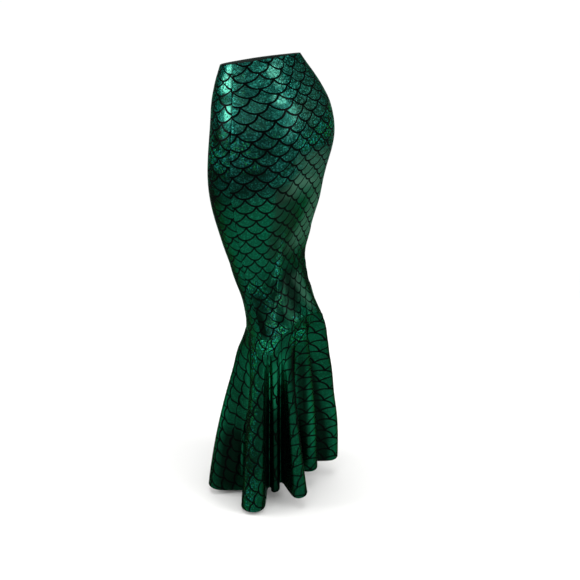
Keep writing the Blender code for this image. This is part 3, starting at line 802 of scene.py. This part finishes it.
def puckers():
    """Uneven puckers all round below the joining seam, for the flounce."""
    chance = np.random.default_rng(PUCKER_SEED)
    found = []
    for number in range(PUCKERS):
        turn = FLOUNCE_START + (number + chance.uniform(*PUCKER_PLACES)) * 360.0 / PUCKERS
        length = chance.uniform(*PUCKER_LENGTHS)
        lean = chance.uniform(*PUCKER_LEANS)
        height = chance.choice(PUCKER_SIDES) * chance.uniform(*PUCKER_HEIGHTS)
        width = chance.uniform(*PUCKER_WIDTHS)
        found.append(Crease(turn, PUCKER_START, turn + lean, length, PUCKER_BOW, width, height))
    return tuple(found)


class Sum:
    """A shader socket that can be used in sums: each operator adds the Math node for it."""

    def __init__(self, look, socket):
        self.look = look
        self.socket = socket

    def math(self, operation, *terms):
        inputs = dict(enumerate((self,) + terms))
        return self.look.node("ShaderNodeMath", {"operation": operation}, inputs)

    def __add__(self, other):
        return self.math("ADD", other)

    def __radd__(self, other):
        return self.math("ADD", other)

    def __sub__(self, other):
        return self.math("SUBTRACT", other)

    def __rsub__(self, other):
        return self.look.node("ShaderNodeMath", {"operation": "SUBTRACT"}, {0: other, 1: self})

    def __mul__(self, other):
        return self.math("MULTIPLY", other)

    def __rmul__(self, other):
        return self.math("MULTIPLY", other)

    def __truediv__(self, other):
        return self.math("DIVIDE", other)

    def __abs__(self):
        return self.math("ABSOLUTE")

    def floor(self):
        return self.math("FLOOR")

    def least(self, other):
        return self.math("MINIMUM", other)

    def most(self, other):
        return self.math("MAXIMUM", other)

    def below(self, other):
        return self.math("LESS_THAN", other)

    def step(self, low, high):
        """0 at low and 1 at high, smooth between."""
        settings = {"interpolation_type": "SMOOTHSTEP"}
        inputs = {0: self, 1: low, 2: high, 3: 0.0, 4: 1.0}
        return self.look.node("ShaderNodeMapRange", settings, inputs)


class Look:
    """A material and its node tree. node() adds any node and gives back one of its outputs."""

    def __init__(self, name, roughness, metallic, coat, coat_roughness):
        self.material = bpy.data.materials.new(name)
        self.material.use_nodes = True
        self.tree = self.material.node_tree
        self.shader = self.tree.nodes["Principled BSDF"]
        self.shader.inputs["Roughness"].default_value = roughness
        self.shader.inputs["Metallic"].default_value = metallic
        self.shader.inputs["Coat Weight"].default_value = coat
        self.shader.inputs["Coat Roughness"].default_value = coat_roughness

    def node(self, kind, settings, inputs, output=0):
        made = self.tree.nodes.new(kind)
        for name, value in settings.items():
            setattr(made, name, value)
        for place, value in inputs.items():
            self.join(value, made.inputs[place])
        return Sum(self, made.outputs[output])

    def join(self, value, socket):
        if isinstance(value, Sum):
            self.tree.links.new(value.socket, socket)
        else:
            socket.default_value = value

    def parts(self, kind, whole):
        """The three parts of a colour or a place, by the node that separates them."""
        first = self.node(kind, {}, {0: whole})
        return [Sum(self, output) for output in first.socket.node.outputs]

    def vector(self, operation, inputs, output=0):
        return self.node("ShaderNodeVectorMath", {"operation": operation}, inputs, output)

    def mix(self, share, first, second):
        inputs = {0: share, 6: first, 7: second}
        return self.node("ShaderNodeMix", {"data_type": "RGBA", "clamp_factor": True}, inputs, 2)

    def paint(self, socket, value):
        self.join(value, self.shader.inputs[socket])


def scale_print(look, along, across, size):
    """The black arcs of the fish-scale print, and a number of its own for each scale.

    Each scale is bounded below by an arc that hangs between two cusps, and the next row's cusps
    stand on the lowest points of its arcs.
    """
    width = SCALE_WIDTH * size
    rise = SCALE_RISE * size
    radius = (0.25 * width * width + rise * rise) / (2.0 * rise)
    row = (along / rise).floor()

    def arc_of(offset):
        number = row + offset
        shifted = across / width - number.math("FLOORED_MODULO", 2.0) * 0.5
        place = (shifted + 0.5).floor()
        sideways = (shifted - place) * width
        below = along - number * rise + (radius - rise)
        away = (sideways * sideways + below * below).math("SQRT") - radius
        return away, place, number

    above, _, _ = arc_of(-1.0)
    own, own_place, own_number = arc_of(0.0)
    under, under_place, under_number = arc_of(1.0)
    cut_off = under_number * rise - along
    nearest = abs(own).least(abs(above)).least(abs(under).most(cut_off))
    inside = own.below(0.0)
    place = under_place + inside * (own_place - under_place)
    number = under_number + inside * (own_number - under_number)
    seed = look.node("ShaderNodeCombineXYZ", {}, {0: place, 1: number, 2: 3.0})
    chance = look.node("ShaderNodeTexWhiteNoise", {"noise_dimensions": "3D"}, {"Vector": seed})
    return nearest, chance


def foil(name, size, greens):
    """Emerald foil on stretch knit: fine metal flakes under a clear coat, with black printed scales.

    The flakes glitter over the hips and where glints are painted, and lie smooth elsewhere. Painted
    highlights, painted shade and a painted milky reflection of the room are laid over the foil's own
    greens from the painted light at each point.
    """
    look = Look(name, roughness=0.3, metallic=1.0, coat=0.02, coat_roughness=0.2)
    look.shader.inputs["Specular IOR Level"].default_value = 0.0
    look.shader.inputs["Specular Tint"].default_value = FOIL_EDGE_TINT
    spot = look.node("ShaderNodeUVMap", {"uv_map": "print"}, {})
    across, along, _ = look.parts("ShaderNodeSeparateXYZ", spot)
    nearest, chance = scale_print(look, along, across, size)
    ink = 1.0 - nearest.step(INK_HALF_WIDTH - INK_SOFTNESS, INK_HALF_WIDTH + INK_SOFTNESS)
    cells = {"voronoi_dimensions": "2D"}
    flake = look.node("ShaderNodeTexVoronoi", cells, {"Vector": spot, "Scale": FLAKES}, 1)
    red, green, _ = look.parts("ShaderNodeSeparateColor", flake)
    # the painted light at each point: painted highlight, painted glints, painted shade and painted
    # reflection
    painted_light = look.node("ShaderNodeVertexColor", {"layer_name": "painted_light"}, {})
    sheen, spark, dull = look.parts("ShaderNodeSeparateColor", painted_light)
    veil = look.node("ShaderNodeVertexColor", {"layer_name": "painted_light"}, {}, 1)
    place = look.node("ShaderNodeTexCoord", {}, {}, 3)
    height = look.parts("ShaderNodeSeparateXYZ", place)[2]
    grain = (CALM_GRAIN + (1.0 - CALM_GRAIN) * height.step(*HIP_GRAIN)).most(spark)
    flash = CALM_FLASH + (red * red * red * red - CALM_FLASH) * grain
    emerald = look.mix(flash, greens.deep, greens.bright)
    teal = look.mix(flash, DEEP_TEAL, BRIGHT_TEAL)
    teal_share = (LEAST_TEAL + (1.0 - LEAST_TEAL) * chance) * height.step(*HIP_TEAL)
    scales = look.mix(chance * SCALE_CONTRAST, look.mix(teal_share, emerald, teal), SHADED_SCALE)
    # painted highlight: the foil brightened towards its pale colour
    highlighted = look.mix(sheen * (1.0 - HIGHLIGHT_GRAIN * grain * (1.0 - green)), scales, greens.pale)
    # painted glints on some flakes, with dark flakes between them
    glint_colour = look.mix(red.step(*BLUE_FLAKES), PAINTED_GREEN_GLINT, PAINTED_BLUE_GLINT)
    glinting = look.mix(spark * green.step(*LIT_FLAKES), highlighted, glint_colour)
    glint_gaps = DARK_FLAKE_SHARE * spark * (1.0 - green.step(*DARK_FLAKES))
    # painted shade
    shaded = look.mix(dull.most(glint_gaps), glinting, PAINTED_SHADE_GREEN)
    # painted reflection of the white room, which also takes away metal
    reflected = look.mix(PAINTED_REFLECTION_SHARE * veil, shaded, PAINTED_REFLECTION_TINT)
    look.paint("Base Color", look.mix(ink, reflected, INK))
    look.paint("Metallic", (1.0 - ink) * (1.0 - PAINTED_REFLECTION_SHARE * veil))
    look.paint("Roughness", FOIL_ROUGHNESS + FLAKE_ROUGHNESS * red * grain + INK_ROUGHNESS * ink)
    lean = look.vector("SUBTRACT", {0: flake, 1: (0.5, 0.5, 0.5)})
    tilt = look.vector("SCALE", {0: lean, "Scale": FLAKE_TILT * grain})
    facing = look.node("ShaderNodeNewGeometry", {}, {}, 1)
    tilted = look.vector("ADD", {0: facing, 1: tilt})
    look.paint("Normal", look.vector("NORMALIZE", {0: tilted}))
    return look.material


def reverse_side():
    """The knit's dark, matt reverse."""
    look = Look("knit_reverse", roughness=0.85, metallic=0.0, coat=0.0, coat_roughness=0.5)
    spot = look.node("ShaderNodeUVMap", {"uv_map": "print"}, {})
    flat = {"noise_dimensions": "2D"}
    knit = look.node("ShaderNodeTexNoise", flat, {"Vector": spot, "Scale": STITCHES})
    look.paint("Base Color", look.mix(knit, DARK_KNIT, LIGHT_KNIT))
    relief = {"Height": knit, "Strength": STITCH_RELIEF, "Distance": STITCH_HEIGHT}
    look.paint("Normal", look.node("ShaderNodeBump", {}, relief))
    return look.material


def panel(name, behind, place, looks):
    """One fitted panel between the side seams; behind is True for the back."""
    centre = 90.0 if behind else -90.0

    def turn_at(across, down):
        side = at_drop(down * KNEE_DROP, "side_seam")
        start = side if behind else -180.0 - side
        end = 180.0 - side if behind else side
        return start + (end - start) * spaced(across, PANEL_COLUMNS, PANEL_SIDE)

    def share_at(down):
        return spaced(down, PANEL_ROWS, PANEL_END)

    def from_seam(across):
        placed = spaced(across, PANEL_COLUMNS, PANEL_SIDE)
        return np.minimum(placed, 1.0 - placed) * PANEL_WIDTH

    def form(across, down):
        share = share_at(down)
        turn = turn_at(across, share)
        point = tube_point(turn, share)
        near = np.clip(1.0 - from_seam(across) / SEAM_REACH, 0.0, 1.0)
        low = np.clip(1.0 - (1.0 - share) * KNEE_DROP / SEAM_REACH, 0.0, 1.0)
        sink = SEAM_SINK * np.maximum(near, low) ** 2
        level = np.hypot(point[..., 0], point[..., 1])
        sink = sink - creased(TUBE_CREASES, turn, -point[..., 2], level)
        return point - outwards(turn) * sink[..., None]

    def thickness(across, down):
        turned = ease(2.0 * (1.0 - share_at(down) * KNEE_DROP / TURNED_DEPTH))
        return CLOTH + (TURNED_CLOTH - CLOTH) * turned

    def drawn_in(across, down):
        return share_at(down) * KNEE_DROP

    def printed(across, down):
        """The print's own place, whose scales all have the same size in it."""
        share = share_at(down)
        turn = turn_at(across, share)
        drop = tube_drop(turn, share)
        width = np.zeros_like(turn)
        before = tube_point(np.full_like(turn, centre), share)
        for number in range(1, MEASURE_STEPS + 1):
            point = tube_point(centre + (turn - centre) * number / MEASURE_STEPS, share)
            width += np.linalg.norm(point - before, axis=-1)
            before = point
        width *= np.sign(turn - centre)
        scales = width / (place.wide * lay_at(drop, "width")) + place.across + place.drift * drop
        scale_rows = np.full_like(turn, place.down)
        before = tube_point(turn, np.zeros_like(share))
        for number in range(1, MEASURE_STEPS + 1):
            point = tube_point(turn, share * number / MEASURE_STEPS)
            rise = place.tall * lay_at(-point[..., 2], "rise")
            scale_rows += np.linalg.norm(point - before, axis=-1) / rise
            before = point
        scale_rows += place.slope * (scales - 0.5)
        for drift in BACK_DRIFTS if behind else ():
            part = ease((turn - drift.turn) / drift.over) * ease((drop - drift.drop) / drift.deep)
            scales = scales + drift.across * part
            scale_rows = scale_rows + drift.rows * part
        return np.column_stack((scales * SCALE_WIDTH, scale_rows * SCALE_RISE))

    # painted highlights, glints, shade and reflection on the panel, from its patches
    def painted_light(across, down):
        share = share_at(down)
        turn = turn_at(across, share)
        point = tube_point(turn, share)
        level = np.hypot(point[:, 0], point[:, 1])
        patches = BACK_PATCHES if behind else FRONT_PATCHES
        return patched(patches, turn, -point[:, 2], level)

    made = (form, thickness, drawn_in, printed, painted_light, looks)
    return cloth(name, PANEL_COLUMNS, PANEL_ROWS, *made)


def flat_level(lower):
    """Cloth per radian of the joining seam's turn; lower is 0 at the seam and 1 at the hem."""
    return SEAM_LEVEL + LEVEL_GAIN * lower


def print_turning():
    """Once round the flounce: its share, which way the print has turned there, and where its top
    edge lies on the flat ring that it was cut as.
    """
    share = np.linspace(0.0, 1.0, HEM_SAMPLES + 1)
    passed = []
    for down in (0.0, 1.0):
        points = flounce_point(share, np.full_like(share, down))
        steps = np.linalg.norm(np.diff(points, axis=0), axis=1)
        passed.append(np.concatenate(([0.0], np.cumsum(steps))))
    seam, hem = passed
    turned = np.degrees((hem - seam) / FLOUNCE_LENGTH) - 180.0
    root = FLOUNCE_START + 360.0 * share
    for tuck in TUCKS:
        turned += tuck.turned * ease((root - tuck.root) / TUCK_SPREAD + 0.5)
    angle = np.radians(turned)
    step = np.diff(seam, prepend=0.0)
    return share, turned, np.cumsum(step * np.cos(angle)), -np.cumsum(step * np.sin(angle))


def flounce(looks):
    """The flared ring below the joining seam."""
    folds = FLOUNCE_CREASES + puckers()
    ring_share, ring_turned, ring_x, ring_y = print_turning()

    def share_at(across):
        return np.interp(spaced(across, FLOUNCE_COLUMNS, FLOUNCE_SIDE), COLUMNS_PASSED, TURN_PASSED)

    def down_at(down):
        return spaced(down, FLOUNCE_ROWS, FLOUNCE_END)

    def form(across, down):
        share = share_at(across)
        lower = down_at(down)
        point = flounce_point(share, lower)
        turn = FLOUNCE_START + 360.0 * share
        high = np.clip(1.0 - lower * FLOUNCE_LENGTH / SEAM_REACH, 0.0, 1.0)
        sink = SEAM_SINK * high ** 2
        sink = sink - creased(folds, turn, lower * FLOUNCE_LENGTH, flat_level(lower))
        return point - outwards(turn) * sink[..., None]

    def thickness(across, down):
        hemmed = ease(2.0 * (1.0 - (1.0 - down_at(down)) * FLOUNCE_LENGTH / HEM_DEPTH))
        return CLOTH + (HEM_CLOTH - CLOTH) * hemmed

    def drawn_in(across, down):
        return (1.0 - down_at(down)) * FLOUNCE_LENGTH

    def printed(across, down):
        """Places on the flat ring that the flounce was cut as."""
        share = share_at(across)
        angle = np.radians(np.interp(share, ring_share, ring_turned))
        length = FLOUNCE_LENGTH * down_at(down)
        x = np.interp(share, ring_share, ring_x) + length * np.sin(angle)
        y = np.interp(share, ring_share, ring_y) + length * np.cos(angle)
        return np.column_stack((x, y))

    # painted highlights, glints, shade and reflection on the flounce, from its patches
    def painted_light(across, down):
        turn = FLOUNCE_START + 360.0 * share_at(across)
        lower = down_at(down)
        return patched(FLOUNCE_PATCHES, turn, lower * FLOUNCE_LENGTH, flat_level(lower))

    made = (form, thickness, drawn_in, printed, painted_light, looks)
    return cloth("flounce_cloth", FLOUNCE_COLUMNS, FLOUNCE_ROWS, *made, joined=True)


reverse = reverse_side()
front = panel("front_cloth", False, FRONT_PLACE, (foil("front_foil_cloth", 1.0, PANEL_GREENS), reverse))
back = panel("back_cloth", True, BACK_PLACE, (foil("back_foil_cloth", 1.0, PANEL_GREENS), reverse))
ring = flounce((foil("flounce_foil_cloth", FLOUNCE_SCALES, FLOUNCE_SHADED_GREENS), reverse))

for piece, node in ((front, "front_panel"), (back, "back_panel"), (ring, "flounce")):
    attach(piece, "root")
    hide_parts(node)


def floor():
    """A pale floor that fades into the white of the studio."""
    look = Look("pale_floor", roughness=0.6, metallic=0.0, coat=0.0, coat_roughness=0.5)
    look.paint("Base Color", FLOOR_GREY)
    spot = look.node("ShaderNodeTexCoord", {}, {}, 3)
    away = look.vector("LENGTH", {0: spot}, 1)
    look.paint("Alpha", 1.0 - away.step(*FLOOR_FADE))
    mesh = bpy.data.meshes.new("floor")
    work = bmesh.new()
    bmesh.ops.create_circle(work, cap_ends=True, segments=96, radius=FLOOR_RADIUS)
    bmesh.ops.translate(work, verts=work.verts[:], vec=(0.0, 0.0, FLOOR))
    work.to_mesh(mesh)
    work.free()
    mesh.materials.append(look.material)
    made = bpy.data.objects.new("floor", mesh)
    bpy.context.collection.objects.link(made)


def softbox(box):
    """A soft light that stands at its turn and rise from the skirt and faces it."""
    light = bpy.data.lights.new(box.name, "AREA")
    light.shape = "RECTANGLE"
    light.size = box.width
    light.size_y = box.height
    light.energy = box.power
    made = bpy.data.objects.new(box.name, light)
    bpy.context.collection.objects.link(made)
    away = direction(box.turn, box.rise)
    made.location = Vector(SOFTBOX_AIM) + SOFTBOX_DISTANCE * away
    made.rotation_euler = away.to_track_quat("Z", "Y").to_euler()


def studio():
    """An even grey above the horizon and the white of an endless floor below it."""
    room = bpy.data.worlds.new("studio")
    room.use_nodes = True
    tree = room.node_tree
    way = tree.nodes.new("ShaderNodeTexCoord")
    height = tree.nodes.new("ShaderNodeSeparateXYZ")
    tree.links.new(way.outputs["Generated"], height.inputs[0])
    shade = tree.nodes.new("ShaderNodeMapRange")
    shade.interpolation_type = "SMOOTHSTEP"
    for place, value in enumerate((0.0, *HORIZON, LIGHT_BELOW, LIGHT_ABOVE)):
        shade.inputs[place].default_value = value
    tree.links.new(height.outputs["Z"], shade.inputs["Value"])
    tree.links.new(shade.outputs["Result"], tree.nodes["Background"].inputs["Strength"])
    tree.nodes["Background"].inputs["Color"].default_value = WHITE
    bpy.context.scene.world = room


def camera():
    """A camera behind the wearer's left and above the waist, looking down at the skirt."""
    lens = bpy.data.cameras.new("camera")
    lens.lens = LENS
    lens.sensor_width = SENSOR
    made = bpy.data.objects.new("camera", lens)
    bpy.context.collection.objects.link(made)
    made.location = CAMERA_PLACE
    looking = -direction(CAMERA_TURN, CAMERA_RISE)
    made.rotation_euler = looking.to_track_quat("-Z", "Y").to_euler()
    bpy.context.scene.camera = made


floor()
for box in SOFTBOXES:
    softbox(box)
studio()
camera()
bpy.context.scene.view_settings.view_transform = "Standard"
